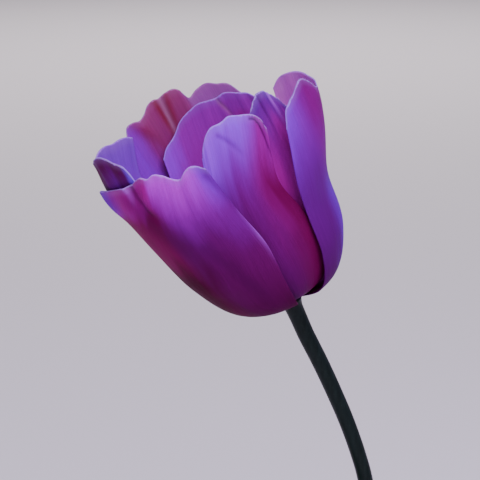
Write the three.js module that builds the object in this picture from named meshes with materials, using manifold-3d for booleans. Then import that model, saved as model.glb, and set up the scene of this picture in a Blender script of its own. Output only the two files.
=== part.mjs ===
// A purple tulip in a plain glass vase: one open, frilled bloom that leans over on a bare stem,
// two leaves, and water. Millimetres, +Z up, origin at the centre of the vase's underside.
import * as THREE from 'three';
import { mergeVertices } from 'three/addons/utils/BufferGeometryUtils.js';
import Module from 'manifold-3d';

// Where the bloom sits on its stem, and the way it leans.
const BLOOM_BASE = new THREE.Vector3(-53, -9, 310);
const BLOOM_AXIS = new THREE.Vector3(-0.392, -0.144, 0.909).normalize();

// Vase and water.
const VASE_HEIGHT = 180;
const FOOT_RADIUS = 31;
const BODY_RADIUS = 23;
const RIM_RADIUS = 25.4;
const WALL = 2.7;
const FLOOR = 9;
const WATER_LEVEL = 104;
const VASE_SIDES = 48;

// Stem: the centres from the cut end on the vase's floor to the bloom, and the radius at each.
const STEM_CENTRES = [
  [8, 3, 10.1], [2, 2.2, 55], [-4.5, 1.2, 100], [-11, 0, 145], [-16.2, -1.6, 180],
  [-20.6, -3, 212], [-25.6, -3.9, 241.8], [-28.1, -4.2, 250.9], [-32.4, -4.7, 263.3],
  [-36.9, -5.3, 274.2], [-41.9, -6.1, 285.4], [-47, -7.1, 295.9],
];
const STEM_RADII = [3.5, 3.3, 3.15, 3, 2.85, 2.7, 2.65, 2.65, 2.7, 2.75, 2.8, 2.85];
const STEM_SIDES = 12;

// Clearance between pieces that touch, and the sheet thickness of petals and leaves.
const GAP = 0.3;
const PETAL_RIB = 1.3;
const PETAL_EDGE = 0.8;
const LEAF_RIB = 1.5;
const LEAF_EDGE = 0.8;

// Petals, in the bloom's own frame: z along its axis, azimuth in degrees from the front, to the right.
// radius, height: the blade from its claw to its tip, at six even stations.
// first, last: azimuth of its two side edges at the same stations.
// top: azimuth and share of the length along the frilled upper edge.
// folds: [azimuth, half width in degrees, share of the length, half length, millimetres outwards].
const PETALS = {
  tepal_outer_left: {
    radius: [4.5, 18.8, 27.4, 32.4, 36.3, 38],
    height: [0, 5, 18.5, 34, 50, 66.5],
    first: [-96, -100, -102, -98, -92, -84],
    last: [20, 14, 11, 10, 4, -1],
    top: [
      [-84, 0.86], [-81, 0.905], [-76, 0.933], [-66, 0.947], [-52, 0.967], [-43, 0.978],
      [-36, 1.003], [-32, 1.013], [-29, 1.004], [-25, 1.014], [-21, 1.005], [-18, 0.985],
      [-14, 0.97], [-10, 0.995], [-7, 1.005], [-4, 0.997], [-1, 0.975],
    ],
    folds: [[-84, 15, 0.92, 0.1, 3], [-84, 14, 0.84, 0.05, 0.7], [-43, 5, 0.97, 0.12, -1.2]],
    across: 20,
  },
  tepal_outer_right: {
    radius: [4.5, 18.5, 25.8, 28.7, 34.7, 36.5],
    height: [0, 4.6, 17.5, 33, 50, 67],
    first: [40, 44, 44, 42, 38, 42],
    last: [138, 146, 148, 148, 148, 147],
    top: [
      [42, 0.955], [45, 1.012], [49, 1.027], [54, 1.041], [58, 1.06], [63, 1.063], [72, 1.025],
      [82, 0.978], [92, 0.952], [102, 0.955], [115, 0.958], [123, 0.965], [133, 0.96],
      [141, 0.942], [147, 0.905],
    ],
    folds: [[92, 28, 0.74, 0.17, -2.8], [90, 22, 1.05, 0.07, -2]],
    across: 16,
  },
  tepal_outer_back: {
    radius: [4.5, 18, 27, 31, 34, 38],
    height: [0, 4.5, 18, 35, 52, 69.5],
    first: [152, 153, 154, 154, 153, 152],
    last: [240, 238, 236, 236, 238, 242],
    top: [
      [152, 0.8], [158, 0.85], [165, 0.889], [171, 0.942], [177, 0.958], [182, 0.974],
      [188, 0.966], [193, 0.951], [194.3, 0.968], [195.5, 0.99], [198, 1.006], [203, 1.006],
      [207, 0.998], [210, 1.005], [214, 0.999], [218, 0.978], [222, 0.967], [227, 0.976],
      [230.5, 0.972], [233, 0.945], [237, 0.91], [242, 0.87],
    ],
    folds: [[244, 16, 0.75, 0.35, 1.6], [207, 4, 0.9, 0.25, 0.8]],
    across: 20,
  },
  tepal_inner_front: {
    radius: [4.2, 16.5, 25.3, 30, 31, 29.5],
    height: [1.4, 6.1, 19.5, 36, 53, 70],
    first: [-14, -22, -24, -20, -11, -3],
    last: [44, 56, 54, 43, 31, 38],
    top: [
      [-3, 0.94], [-1, 0.97], [3, 1.006], [8, 1.03], [15, 1.033], [20, 1.04], [26, 1.026],
      [32, 1.01], [35, 0.995], [37.5, 0.966], [38, 0.935],
    ],
    folds: [[50, 16, 0.5, 0.3, -2.8]],
    across: 12,
  },
  tepal_inner_left: {
    radius: [4.2, 17, 25.5, 31, 36.2, 38.2],
    height: [1.5, 6.5, 19, 35, 51, 68],
    first: [-126, -128, -126, -121, -116, -125],
    last: [-62, -54, -48, -46, -44, -42],
    top: [
      [-125, 0.958], [-122, 0.972], [-118, 0.982], [-112, 0.986], [-106, 1], [-100, 1.002],
      [-93, 1], [-86, 0.996], [-78, 1.012], [-70, 1.04], [-63, 1.065], [-57, 1.073], [-52, 1.058],
      [-47, 1.041], [-43.5, 1.02], [-42, 0.97],
    ],
    folds: [
      [-30, 34, 0.85, 0.5, -3.5], [-80, 30, 0.5, 0.25, -1.3], [-140, 26, 0.88, 0.38, -4.8],
      [-92, 25, 0.88, 0.1, 1.2],
    ],
    across: 16,
  },
  tepal_inner_right: {
    radius: [4, 13.6, 21.2, 26.4, 28.8, 27.2],
    height: [2.9, 7.8, 20.5, 36.5, 53, 70],
    first: [28, 25, 22, 22, 26, 33],
    last: [66, 76, 78, 78, 74, 68],
    top: [
      [34, 0.985], [38, 1.013], [43, 1.034], [48, 1.044], [53, 1.04], [57, 1.02], [61, 0.998],
      [65, 0.95], [70, 0.93],
    ],
    folds: [[55, 4, 1, 0.15, -0.6]],
    across: 12,
  },
  tepal_inner_back: {
    radius: [4, 15, 23, 27, 29.5, 31],
    height: [2.4, 7.4, 20, 36, 51, 67],
    first: [142, 140, 140, 142, 146, 152],
    last: [222, 234, 238, 238, 234, 228],
    top: [
      [152, 0.89], [158, 0.926], [165, 0.943], [173, 0.959], [179, 0.95], [184, 0.953],
      [190, 0.959], [197, 0.948], [205, 0.928], [213, 0.888], [222, 0.863], [228, 0.83],
    ],
    folds: [],
    across: 14,
  },
};
const PETAL_STEPS = 13;

// Leaves: the rib's centres from the clasping base to the tip, the half width and the radius of the
// trough across the blade at six even stations, and the waves of its edges.
const LEAVES = {
  leaf_lower: {
    rib: [
      [-1.5, 1.2, 110], [5.2, 1, 133], [13.6, 0, 158], [20.9, -2, 184], [33, -6, 209],
      [54, -12, 224], [78, -19, 219], [100, -26, 198], [113, -30, 172],
    ],
    halfWidth: [7, 11, 14, 17.5, 13, 1.5],
    trough: [4.7, 11, 15, 30, 30, 9],
    waves: 3.5,
    waveHeight: 2.2,
  },
  leaf_upper: {
    rib: [
      [-22.3, -3.2, 195], [-27, -5, 208], [-36, -9, 221], [-49, -17, 230], [-64, -26, 227],
      [-77, -34, 214],
    ],
    halfWidth: [7, 10.5, 12.5, 12.5, 9, 1.3],
    trough: [4.3, 9, 16, 22, 20, 8],
    waves: 2.5,
    waveHeight: 1.6,
  },
};
const LEAF_STEPS = 26;
const LEAF_ACROSS = 8;

// Heart of the bloom, in the bloom's frame: heights along its axis and radii.
const RECEPTACLE = [[-9, 2.9], [-4.5, 3.05], [-2.2, 3.7], [-1, 4.7], [-0.75, 3.5], [3.2, 3.35]];
const HEART_FOOT = RECEPTACLE.at(-1)[0] + GAP;
const OVARY_HEIGHT = 24;
const OVARY_RADIUS = 3.7;
const OVARY_SIDES = 12;
const STIGMA_LOBES = 3;
const STIGMA_REACH = 5.2;
const STAMENS = 6;
const STAMEN_REACH = 9.4;
const STAMEN_TOP = 31;
const COLLAR_OUTLINE = [[2.4, 0], [3.4, 0], [3.7, 1], [3.4, 2], [2.9, 2], [2.4, 0]];

// Catmull-Rom curve through values at even stations of 0..1, straight past its ends.
function through(values, x) {
  const last = values.length - 1;
  const at = x * last;
  const i = Math.min(Math.max(Math.floor(at), 0), last - 1);
  const f = at - i;
  const [b, c] = [values[i], values[i + 1]];
  if (f > 1) return c + (f - 1) * (c - b);
  const a = i > 0 ? values[i - 1] : 2 * b - c;
  const d = i + 2 <= last ? values[i + 2] : 2 * c - b;
  const square = 2 * a - 5 * b + 4 * c - d;
  const cube = 3 * b - a - 3 * c + d;
  return 0.5 * (2 * b + (c - a) * f + square * f ** 2 + cube * f ** 3);
}

// Upper edge of a petal as a smooth curve of azimuth and share of the length.
function edgeCurve(points) {
  const DEGREES_PER_LENGTH = 40;
  const flat = points.map(([azimuth, share]) => (
    new THREE.Vector3(azimuth / DEGREES_PER_LENGTH, share, 0)
  ));
  const curve = new THREE.CatmullRomCurve3(flat, false, 'centripetal');
  return (s) => {
    const p = curve.getPoint(s);
    return [p.x * DEGREES_PER_LENGTH, p.y];
  };
}

// A closed sheet around the middle surface point(s, t), s across and t along, both 0..1.
function sheet(point, thickness, across, along) {
  const STEP = 1e-3;
  const corner = (i, j) => i * (across + 1) + j;
  const side = (along + 1) * (across + 1);
  const positions = new Float32Array(side * 6);
  for (let i = 0; i <= along; i++) {
    for (let j = 0; j <= across; j++) {
      const [s, t] = [j / across, i / along];
      const acrossIt = point(Math.min(s + STEP, 1), t).sub(point(Math.max(s - STEP, 0), t));
      const alongIt = point(s, Math.min(t + STEP, 1)).sub(point(s, Math.max(t - STEP, 0)));
      const half = acrossIt.cross(alongIt).setLength(thickness(s, t) / 2);
      const middle = point(s, t);
      middle.clone().add(half).toArray(positions, corner(i, j) * 3);
      middle.sub(half).toArray(positions, (side + corner(i, j)) * 3);
    }
  }
  const index = [];
  for (let i = 0; i < along; i++) {
    for (let j = 0; j < across; j++) {
      const [a, b, c, d] = [corner(i, j), corner(i, j + 1), corner(i + 1, j + 1), corner(i + 1, j)];
      index.push(a, b, c, a, c, d);
      index.push(side + a, side + c, side + b, side + a, side + d, side + c);
    }
  }
  const rim = [];
  for (let j = 0; j < across; j++) rim.push(corner(0, j));
  for (let i = 0; i < along; i++) rim.push(corner(i, across));
  for (let j = across; j > 0; j--) rim.push(corner(along, j));
  for (let i = along; i > 0; i--) rim.push(corner(i, 0));
  rim.forEach((a, k) => {
    const b = rim[(k + 1) % rim.length];
    index.push(a, side + b, b, a, side + a, side + b);
  });
  const geometry = new THREE.BufferGeometry();
  geometry.setAttribute('position', new THREE.BufferAttribute(positions, 3));
  geometry.setIndex(index);
  return geometry;
}

// A closed body through rings of equal count, listed from one end to the other.
function loft(rings) {
  const count = rings[0].length;
  const points = rings.flat();
  const index = [];
  for (let i = 0; i + 1 < rings.length; i++) {
    for (let j = 0; j < count; j++) {
      const [a, b] = [i * count + j, i * count + ((j + 1) % count)];
      index.push(a, b, b + count, a, b + count, a + count);
    }
  }
  const top = (rings.length - 1) * count;
  for (let j = 1; j + 1 < count; j++) {
    index.push(0, j + 1, j);
    index.push(top, top + j, top + j + 1);
  }
  const geometry = new THREE.BufferGeometry();
  geometry.setFromPoints(points);
  geometry.setIndex(index);
  return geometry;
}

// Rings along a line of centres, square to it, each with its own radius.
function ringsAlong(centres, radii, sides) {
  return centres.map((centre, i) => {
    const before = centres[Math.max(i - 1, 0)];
    const after = centres[Math.min(i + 1, centres.length - 1)];
    const along = after.clone().sub(before).normalize();
    const right = new THREE.Vector3(1, 0, 0).addScaledVector(along, -along.x).normalize();
    const back = along.clone().cross(right);
    return Array.from({ length: sides }, (_, j) => {
      const angle = (2 * Math.PI * j) / sides;
      return centre.clone()
        .addScaledVector(right, radii[i] * Math.cos(angle))
        .addScaledVector(back, radii[i] * Math.sin(angle));
    });
  });
}

// A tapered limb that bends evenly through three points.
function limb(points, radii, sides, steps) {
  const curve = new THREE.QuadraticBezierCurve3(...points);
  const centres = curve.getPoints(steps);
  return loft(ringsAlong(centres, centres.map((_, i) => through(radii, i / steps)), sides));
}

const wasm = await Module();
wasm.setup();

function solid(geometry) {
  const bare = geometry.clone();
  bare.deleteAttribute('normal');
  bare.deleteAttribute('uv');
  const merged = mergeVertices(bare, 1e-4);
  return new wasm.Manifold(new wasm.Mesh({
    numProp: 3,
    vertProperties: new Float32Array(merged.attributes.position.array),
    triVerts: new Uint32Array(merged.index.array),
  }));
}

function geometryOf(body) {
  const mesh = body.getMesh();
  const geometry = new THREE.BufferGeometry();
  geometry.setAttribute('position', new THREE.BufferAttribute(mesh.vertProperties, mesh.numProp));
  geometry.setIndex(new THREE.BufferAttribute(mesh.triVerts, 1));
  return geometry;
}

function piece(name, geometry, color, roughness = 0.6) {
  const shaded = geometry.index ? geometry.toNonIndexed() : geometry;
  shaded.computeVertexNormals();
  const material = new THREE.MeshStandardMaterial({ color, roughness, metalness: 0 });
  const mesh = new THREE.Mesh(shaded, material);
  mesh.name = name;
  return mesh;
}

// Vase: thick foot, straight body, slightly flared and rounded rim, turned about +Z.
function innerRadius(z) {
  return BODY_RADIUS - WALL + 1.6 * THREE.MathUtils.smoothstep(z, 140, VASE_HEIGHT);
}

function makeVase() {
  const outline = [
    [0, 0], [FOOT_RADIUS - 1, 0], [FOOT_RADIUS, 1.2], [FOOT_RADIUS - 0.6, 3.2], [FOOT_RADIUS - 4, 6],
    [BODY_RADIUS + 1.8, 10], [BODY_RADIUS + 0.4, 16], [BODY_RADIUS, 28], [BODY_RADIUS, 140],
    [BODY_RADIUS + 0.9, 160], [RIM_RADIUS, VASE_HEIGHT - 1.2], [RIM_RADIUS - 0.8, VASE_HEIGHT],
    [RIM_RADIUS - 2.4, VASE_HEIGHT], [innerRadius(VASE_HEIGHT), VASE_HEIGHT - 1.6],
    [innerRadius(160), 160], [innerRadius(140), 140], [innerRadius(20), 20],
    [17.5, FLOOR + 2.4], [11, FLOOR + 0.3], [0, FLOOR],
  ];
  const profile = outline.map(([radius, z]) => new THREE.Vector2(radius, z));
  return new THREE.LatheGeometry(profile, VASE_SIDES).rotateX(Math.PI / 2);
}

// Stem: one bent rod from the vase's floor to the bloom, which widens into the receptacle.
const right = new THREE.Vector3(1, 0, 0).addScaledVector(BLOOM_AXIS, -BLOOM_AXIS.x).normalize();
const back = BLOOM_AXIS.clone().cross(right);
const bloomFrame = new THREE.Matrix4().makeBasis(right, back, BLOOM_AXIS).setPosition(BLOOM_BASE);

function stemRings(extra) {
  const curve = new THREE.CatmullRomCurve3(STEM_CENTRES.map((p) => new THREE.Vector3(...p)));
  const centres = curve.getPoints(2 * (STEM_CENTRES.length - 1));
  const radii = centres.map((_, i) => through(STEM_RADII, i / (centres.length - 1)) + extra);
  RECEPTACLE.forEach(([z, radius]) => {
    centres.push(new THREE.Vector3(0, 0, z).applyMatrix4(bloomFrame));
    radii.push(radius + extra);
  });
  return ringsAlong(centres, radii, STEM_SIDES);
}

// Water: fills the vase to its level, with a plain hole where the stem stands.
function makeWater() {
  const profile = [
    [0, FLOOR + GAP], [11 - GAP, FLOOR + 0.3 + GAP], [17.5 - GAP, FLOOR + 2.4 + GAP],
    [innerRadius(20) - GAP, 20], [innerRadius(20) - GAP, WATER_LEVEL], [0, WATER_LEVEL - 0.6],
  ].map(([radius, z]) => new THREE.Vector2(radius, z));
  const body = solid(new THREE.LatheGeometry(profile, VASE_SIDES).rotateX(Math.PI / 2));
  const [end, next] = STEM_CENTRES.slice(0, 2).map((p) => new THREE.Vector3(...p));
  const below = end.clone().addScaledVector(next.sub(end).normalize(), -8);
  const curve = new THREE.CatmullRomCurve3(STEM_CENTRES.slice(0, 4).map((p) => new THREE.Vector3(...p)));
  const centres = [below, ...curve.getPoints(6)];
  const radii = centres.map(() => STEM_RADII[0] + GAP);
  const hole = solid(loft(ringsAlong(centres, radii, STEM_SIDES)));
  return geometryOf(body.subtract(hole));
}

// Petal: a curved blade between two side edges, closed by its frilled upper edge.
function petalPoint(petal) {
  const edge = edgeCurve(petal.top);
  const [start, end] = [petal.top[0], petal.top.at(-1)];
  return (s, t) => {
    const [topAzimuth, topShare] = edge(s);
    const mix = (a, b) => a + (b - a) * s;
    const azimuth = mix(through(petal.first, t), through(petal.last, t))
      + t ** 4 * (topAzimuth - mix(start[0], end[0]));
    const level = mix(start[1], end[1]);
    const share = t * (level + (topShare - level) * t ** 2);
    let radius = through(petal.radius, share);
    petal.folds.forEach(([at, halfWidth, where, halfLength, out]) => {
      const near = ((azimuth - at) / halfWidth) ** 2 + ((share - where) / halfLength) ** 2;
      radius += out * Math.exp(-near);
    });
    const angle = THREE.MathUtils.degToRad(azimuth);
    const z = through(petal.height, share);
    return new THREE.Vector3(radius * Math.sin(angle), -radius * Math.cos(angle), z);
  };
}

function makePetal(petal) {
  const thickness = (s, t) => {
    const inward = (1 - (2 * s - 1) ** 2) * (1 - t ** 3);
    return PETAL_EDGE + (PETAL_RIB - PETAL_EDGE) * inward;
  };
  return sheet(petalPoint(petal), thickness, petal.across, PETAL_STEPS);
}

// Leaf: a troughed, wavy blade whose base clasps the stem.
function leafPoint(leaf) {
  const rib = new THREE.CatmullRomCurve3(leaf.rib.map((p) => new THREE.Vector3(...p)));
  return (s, t) => {
    const centre = rib.getPoint(t);
    const along = rib.getTangent(t);
    const across = new THREE.Vector3(-along.y, along.x, 0).normalize();
    const inwards = along.clone().cross(across).normalize();
    const half = through(leaf.halfWidth, t);
    const trough = through(leaf.trough, t);
    const angle = ((2 * s - 1) * half) / trough;
    const wave = leaf.waveHeight * t * (1 - t) * 4 * (2 * s - 1) ** 2
      * Math.sin(2 * Math.PI * leaf.waves * t + 1.6 * s);
    return centre
      .addScaledVector(across, trough * Math.sin(angle))
      .addScaledVector(inwards, trough * (1 - Math.cos(angle)) + wave);
  };
}

function makeLeaf(leaf) {
  const thickness = (s) => LEAF_EDGE + (LEAF_RIB - LEAF_EDGE) * (1 - (2 * s - 1) ** 2) ** 2;
  return sheet(leafPoint(leaf), thickness, LEAF_ACROSS, LEAF_STEPS);
}

// A limb in the plane of the axis, from [radius, height] corners.
function limbAt(corners, radii, sides, steps) {
  return limb(corners.map(([radius, z]) => new THREE.Vector3(radius, 0, z)), radii, sides, steps);
}

// Pistil: three-sided ovary under a stigma of three curled lobes.
function makePistil() {
  const top = HEART_FOOT + OVARY_HEIGHT;
  const heights = [0, 0.12, 0.35, 0.6, 0.82, 0.95, 1];
  const radii = [1.9, 2.6, 3.5, OVARY_RADIUS, 3, 2.3, 2.2];
  const ovary = loft(heights.map((h, i) => Array.from({ length: OVARY_SIDES }, (_, j) => {
    const angle = (2 * Math.PI * j) / OVARY_SIDES;
    const radius = radii[i] * (1 + 0.1 * Math.cos(STIGMA_LOBES * angle));
    const z = HEART_FOOT + h * OVARY_HEIGHT;
    return new THREE.Vector3(radius * Math.cos(angle), radius * Math.sin(angle), z);
  })));
  let body = solid(ovary);
  for (let k = 0; k < STIGMA_LOBES; k++) {
    const corners = [[0.4, top - 1.2], [3.6, top + 2.4], [STIGMA_REACH, top - 1]];
    const lobe = limbAt(corners, [1.9, 1.7, 1], 8, 5);
    body = body.add(solid(lobe.rotateZ((2 * Math.PI * k) / STIGMA_LOBES)));
  }
  return geometryOf(body);
}

// Stamens: six filaments with long anthers, on a collar round the foot of the ovary.
function makeStamens() {
  const profile = COLLAR_OUTLINE.map(([radius, z]) => new THREE.Vector2(radius, HEART_FOOT + z));
  let body = solid(new THREE.LatheGeometry(profile, 18).rotateX(Math.PI / 2));
  for (let k = 0; k < STAMENS; k++) {
    const stalk = [[3.4, HEART_FOOT + 0.9], [7.4, HEART_FOOT + 4], [8.1, STAMEN_TOP - 14]];
    const club = [[8, STAMEN_TOP - 15], [8.6, STAMEN_TOP - 7], [STAMEN_REACH, STAMEN_TOP]];
    const filament = limbAt(stalk, [0.7, 0.8, 0.6], 6, 4);
    const anther = limbAt(club, [0.6, 1.5, 1.6, 1.5, 0.5], 6, 6);
    const turn = (2 * Math.PI * (k + 0.5)) / STAMENS;
    body = body.add(solid(filament.rotateZ(turn))).add(solid(anther.rotateZ(turn)));
  }
  return geometryOf(body);
}

const tulip = new THREE.Group();
tulip.add(piece('vase', makeVase(), 0xe6f0ee, 0.05));
tulip.add(piece('water', makeWater(), 0xcfe3e4, 0.02));
tulip.add(piece('stem', loft(stemRings(0)), 0x2a3a26));
for (const [name, leaf] of Object.entries(LEAVES)) {
  tulip.add(piece(name, makeLeaf(leaf), 0x4f7350));
}

const bloom = new THREE.Group();
bloom.applyMatrix4(bloomFrame);
for (const [name, petal] of Object.entries(PETALS)) {
  bloom.add(piece(name, makePetal(petal), 0x8220b4, 0.45));
}
bloom.add(piece('pistil', makePistil(), 0xa9b46a));
bloom.add(piece('stamens', makeStamens(), 0x2c1533));
tulip.add(bloom);

export default tulip;
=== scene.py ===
# %% [markdown]
# A cut purple tulip in a plain glass vase, dressed for a close look at its one open bloom.
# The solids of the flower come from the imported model. This lesson keeps their place and form, and
# gives each piece the fine surface that a real one has: ribs and frills on the petals, a waxy
# stem, clear glass and water.

# %% Load the model
import math
import bpy
import numpy as np
from mathutils import Matrix, Vector


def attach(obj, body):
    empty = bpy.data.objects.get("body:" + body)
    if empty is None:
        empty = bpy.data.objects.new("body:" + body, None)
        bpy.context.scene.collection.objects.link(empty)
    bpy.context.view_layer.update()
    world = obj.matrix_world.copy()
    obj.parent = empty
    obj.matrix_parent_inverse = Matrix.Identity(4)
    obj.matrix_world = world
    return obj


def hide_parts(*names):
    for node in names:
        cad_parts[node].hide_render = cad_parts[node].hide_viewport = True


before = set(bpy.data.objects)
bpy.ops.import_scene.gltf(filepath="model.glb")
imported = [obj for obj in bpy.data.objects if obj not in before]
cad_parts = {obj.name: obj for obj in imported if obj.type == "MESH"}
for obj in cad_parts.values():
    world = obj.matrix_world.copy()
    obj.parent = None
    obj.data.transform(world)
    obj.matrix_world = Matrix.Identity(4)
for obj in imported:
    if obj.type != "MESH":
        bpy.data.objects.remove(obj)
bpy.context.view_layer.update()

MM = 0.001
print("solids in the model:", sorted(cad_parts))

# %% [markdown]
# The camera stands a little above the bloom and looks 15 degrees down. A long lens keeps the
# petals from spreading, as in a close portrait. It is placed from the bloom's foot, so the bloom
# always falls on the same spot of the square picture.

# %% Camera
PICTURE = 480
LENS = 100.0
SENSOR = 36.0
DOWN = math.radians(15)
BLOOM_BASE = np.array([-53.0, -9.0, 310.0])
BASE_IN_PICTURE = (288.5, 295.5)
MM_PER_PIXEL = 0.33

picture_right = np.array([1.0, 0.0, 0.0])
picture_up = np.array([0.0, math.sin(DOWN), math.cos(DOWN)])
to_camera = np.array([0.0, -math.cos(DOWN), math.sin(DOWN)])
distance = PICTURE * LENS / SENSOR * MM_PER_PIXEL
aside = (BASE_IN_PICTURE[0] - PICTURE / 2) * MM_PER_PIXEL
below = (BASE_IN_PICTURE[1] - PICTURE / 2) * MM_PER_PIXEL
camera_place = BLOOM_BASE + distance * to_camera - aside * picture_right + below * picture_up

camera_data = bpy.data.cameras.new("portrait_camera")
camera_data.lens = LENS
camera_data.sensor_width = SENSOR
camera = bpy.data.objects.new("portrait_camera", camera_data)
bpy.context.scene.collection.objects.link(camera)
turn = Matrix((picture_right, picture_up, to_camera)).transposed().to_4x4()
camera.matrix_world = Matrix.Translation(Vector(camera_place * MM)) @ turn
bpy.context.scene.camera = camera
print("camera is", round(distance), "mm from the bloom's foot")

# %% [markdown]
# A pale matt floor and soft light are all the studio there is. One wide panel hangs in front of
# the bloom, a little to the right, since the petals are brightest where they face forward and up.
# Two smaller, cooler panels at the upper left and at the right draw violet light along the sides.
# A fourth one, far behind, keeps the floor pale up to the top of the picture.

# %% Floor and light
def rgb(red, green, blue):
    """A colour given as 0..255 on a screen, as the linear values that shaders use."""
    def linear(value):
        value = value / 255
        return value / 12.92 if value <= 0.04045 else ((value + 0.055) / 1.055) ** 2.4
    return (linear(red), linear(green), linear(blue), 1.0)


matt = bpy.data.materials.new("studio_floor")
matt.use_nodes = True
matt.node_tree.nodes["Principled BSDF"].inputs["Base Color"].default_value = rgb(226, 220, 224)
matt.node_tree.nodes["Principled BSDF"].inputs["Roughness"].default_value = 0.9

FLOOR_HALF = 12.0
FLOOR_Z = -0.0002
corners = [(-FLOOR_HALF, -FLOOR_HALF, FLOOR_Z), (FLOOR_HALF, -FLOOR_HALF, FLOOR_Z),
           (FLOOR_HALF, FLOOR_HALF, FLOOR_Z), (-FLOOR_HALF, FLOOR_HALF, FLOOR_Z)]
floor_mesh = bpy.data.meshes.new("floor")
floor_mesh.from_pydata(corners, [], [(0, 1, 2, 3)])
floor = bpy.data.objects.new("floor", floor_mesh)
floor_mesh.materials.append(matt)
bpy.context.scene.collection.objects.link(floor)


def panel(name, place, aim, size, watts, colour):
    """A square area light at place, facing aim, both in metres."""
    data = bpy.data.lights.new(name, "AREA")
    data.shape = "SQUARE"
    data.size = size
    data.energy = watts
    data.color = colour[:3]
    lamp = bpy.data.objects.new(name, data)
    lamp.location = place
    lamp.rotation_euler = (Vector(aim) - Vector(place)).to_track_quat("-Z", "Y").to_euler()
    bpy.context.scene.collection.objects.link(lamp)


BLOOM_MIDDLE = (-0.068, -0.014, 0.345)
panel("soft_panel", (0.12, -0.8, 1.2), BLOOM_MIDDLE, 0.9, 21.0, rgb(250, 246, 255))
panel("cool_panel", (-0.5, 0.05, 1.35), BLOOM_MIDDLE, 0.45, 7.0, rgb(206, 196, 255))
panel("side_panel", (0.85, 0.25, 0.75), BLOOM_MIDDLE, 0.45, 4.0, rgb(190, 180, 255))
panel("floor_panel", (0.0, 3.2, 2.6), (0.0, 3.4, 0.0), 2.5, 110.0, rgb(255, 250, 252))

world = bpy.data.worlds.new("studio")
bpy.context.scene.world = world
world.use_nodes = True
world.node_tree.nodes["Background"].inputs["Color"].default_value = rgb(214, 206, 226)
world.node_tree.nodes["Background"].inputs["Strength"].default_value = 0.25

# %% [markdown]
# A plant has hardly a straight line, so smooth curves through a few measured points draw it. One
# helper bends a row of numbers, such as the radius along a petal, and one a line in space.

# %% Smooth curves
def through(values, x):
    """Smooth curve through values at even stations of 0..1, straight past its ends."""
    values = np.asarray(values, float)
    last = len(values) - 1
    at = np.asarray(x, float) * last
    i = np.clip(np.floor(at).astype(int), 0, last - 1)
    f = at - i
    b = values[i]
    c = values[i + 1]
    a = np.where(i > 0, values[np.maximum(i - 1, 0)], 2 * b - c)
    d = np.where(i + 2 <= last, values[np.minimum(i + 2, last)], 2 * c - b)
    bend = (2 * b + (c - a) * f + (2 * a - 5 * b + 4 * c - d) * f ** 2
            + (3 * b - a - 3 * c + d) * f ** 3)
    return np.where(f > 1, c + (f - 1) * (c - b), 0.5 * bend)


def line_through(points, x):
    """Smooth centripetal curve through points in space, one stretch between each pair."""
    points = np.asarray(points, float)
    last = len(points) - 1
    padded = np.vstack([2 * points[0] - points[1], points, 2 * points[-1] - points[-2]])
    at = np.clip(np.asarray(x, float), 0, 1) * last
    i = np.clip(np.floor(at).astype(int), 0, last - 1)
    f = (at - i)[..., None]
    p = [padded[i + k] for k in range(4)]
    gap = [np.maximum(np.linalg.norm(p[k + 1] - p[k], axis=-1, keepdims=True), 1e-6) ** 0.5
           for k in range(3)]
    left = (p[1] - p[0]) / gap[0] - (p[2] - p[0]) / (gap[0] + gap[1]) + (p[2] - p[1]) / gap[1]
    right = (p[2] - p[1]) / gap[1] - (p[3] - p[1]) / (gap[1] + gap[2]) + (p[3] - p[2]) / gap[2]
    left = left * gap[1]
    right = right * gap[1]
    rise = p[2] - p[1]
    return (p[1] + left * f + (3 * rise - 2 * left - right) * f ** 2
            + (left + right - 2 * rise) * f ** 3)


def soft_step(low, high, x):
    """0 below low, 1 above high, and an easy slope between them."""
    f = np.clip((x - low) / (high - low), 0, 1)
    return f * f * (3 - 2 * f)


print("a curve through 0, 1 and 4 is at", float(through([0, 1, 4], 0.75)), "three quarters along")

# %% [markdown]
# Every petal and leaf is a thin curved sheet. A grid of points on its middle surface is moved half
# the sheet's thickness to each side, and the two faces are joined along the rim. Each point keeps
# some numbers for the finishes: where it lies across and along the blade, and how far it is from
# the rim. dress() then lets a piece stand for its solid in the model.

# %% Sheets
def unit(vectors):
    return vectors / np.linalg.norm(vectors, axis=-1, keepdims=True)


def normals_of(grid):
    """The direction square to the surface at each point of the grid."""
    across = np.gradient(grid, axis=1)
    along = np.gradient(grid, axis=0)
    normal = np.cross(across, along)
    return normal / np.maximum(np.linalg.norm(normal, axis=2, keepdims=True), 1e-9)


def top_distance(grid):
    """Millimetres along the blade from each point to its far end."""
    steps = np.linalg.norm(np.diff(grid, axis=0), axis=2)
    run = np.concatenate([np.zeros((1, grid.shape[1])), np.cumsum(steps, axis=0)], axis=0)
    return run[-1:] - run


def rim_distance(grid):
    """Millimetres from each point to the nearest of the two sides and the far end."""
    steps = np.linalg.norm(np.diff(grid, axis=1), axis=2)
    from_first = np.concatenate([np.zeros((len(grid), 1)), np.cumsum(steps, axis=1)], axis=1)
    from_last = from_first[:, -1:] - from_first
    return np.minimum(np.minimum(from_first, from_last), top_distance(grid))


def new_piece(name, points, faces, finishes):
    """An object in the scene, from points in millimetres and faces that count them."""
    mesh = bpy.data.meshes.new(name)
    mesh.from_pydata((points * MM).tolist(), [], faces)
    for finish in finishes:
        mesh.materials.append(finish)
    piece = bpy.data.objects.new(name, mesh)
    bpy.context.scene.collection.objects.link(piece)
    return piece


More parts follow.
